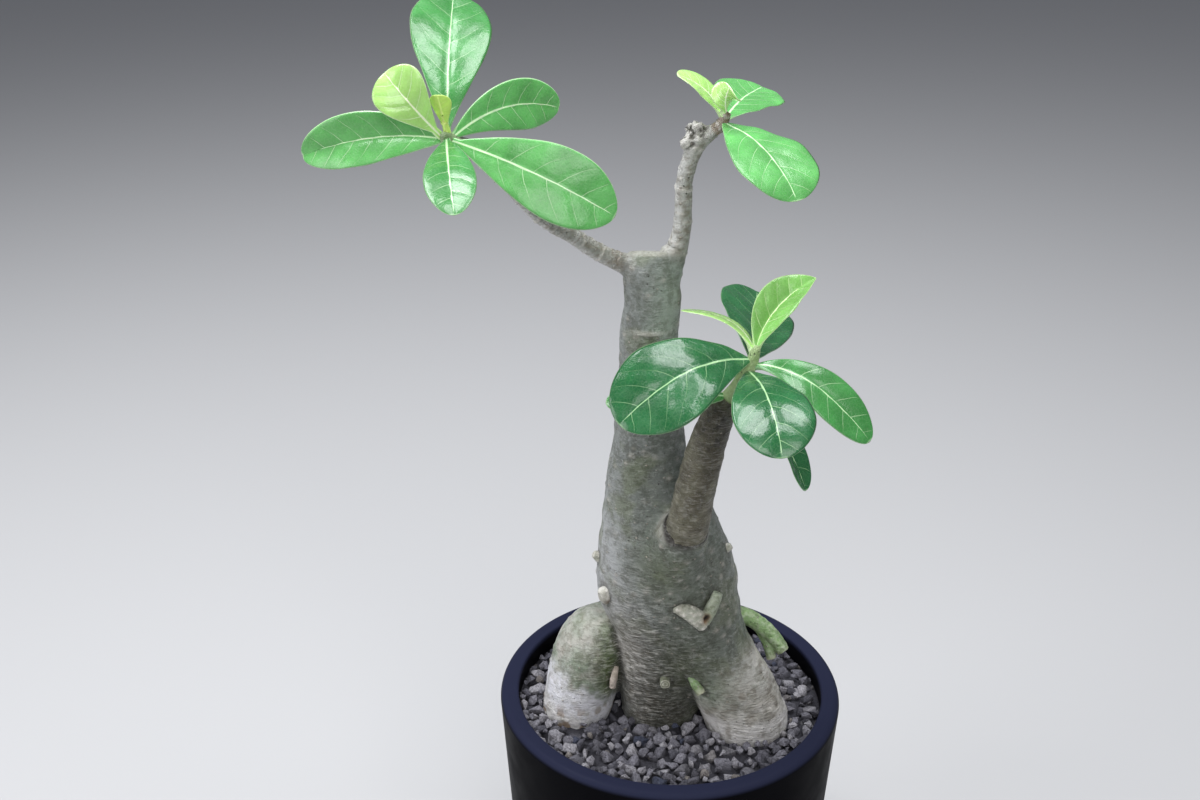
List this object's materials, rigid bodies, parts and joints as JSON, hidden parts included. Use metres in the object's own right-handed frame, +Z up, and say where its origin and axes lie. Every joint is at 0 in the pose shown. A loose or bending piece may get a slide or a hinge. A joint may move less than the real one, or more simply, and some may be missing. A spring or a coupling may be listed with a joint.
{
  "type": "potted desert rose adenium",
  "caption": "Potted desert rose: swollen trunk on thick root lobes, branches with crowns of glossy leaves, round black pot with lava gravel.",
  "frame": {"origin": "centre of the pot's underside, on the surface that the pot stands on", "axes": "+Z up along the pot's axis; the pictured front faces -Y; +X is to the viewer's right"},
  "size_m": [0.1698, 0.1303, 0.3493],
  "materials": {
    "pot_plastic": "satin black, faintly dusty",
    "soil": "loose dark grit and bark",
    "lava_gravel": "rough porous lava",
    "grey_bark": "thin matte grey-green bark with peeling patches",
    "green_stem": "smooth grey-white bark over green, with leaf scars",
    "brown_stem": "dark olive-brown bark, green at the shoot",
    "young_leaf": "waxy yellow-green leaf",
    "mature_leaf": "glossy waxy green leaf with a pale midrib"
  },
  "bodies": {
    "root": {"pot": "pot_plastic", "potting_mix": "soil", "gravel_dressing": "lava_gravel", "trunk": "grey_bark", "left_stem": "green_stem", "right_stem": "green_stem", "side_stem": "brown_stem", "leaf_left_top": "young_leaf", "leaf_left_young": "young_leaf", "leaf_left_bud": "young_leaf", "leaf_left_rear": "mature_leaf", "leaf_left_outer": "mature_leaf", "leaf_left_large": "mature_leaf", "leaf_left_front": "mature_leaf", "leaf_right_young": "young_leaf", "leaf_right_bud": "young_leaf", "leaf_right_rear": "mature_leaf", "leaf_right_large": "mature_leaf", "leaf_side_upright": "young_leaf", "leaf_side_arched": "mature_leaf", "leaf_side_rear": "mature_leaf", "leaf_side_left": "mature_leaf", "leaf_side_right": "mature_leaf", "leaf_side_front": "mature_leaf", "leaf_side_hanging": "mature_leaf", "leaf_side_low": "mature_leaf"}
  },
  "joints": []
}
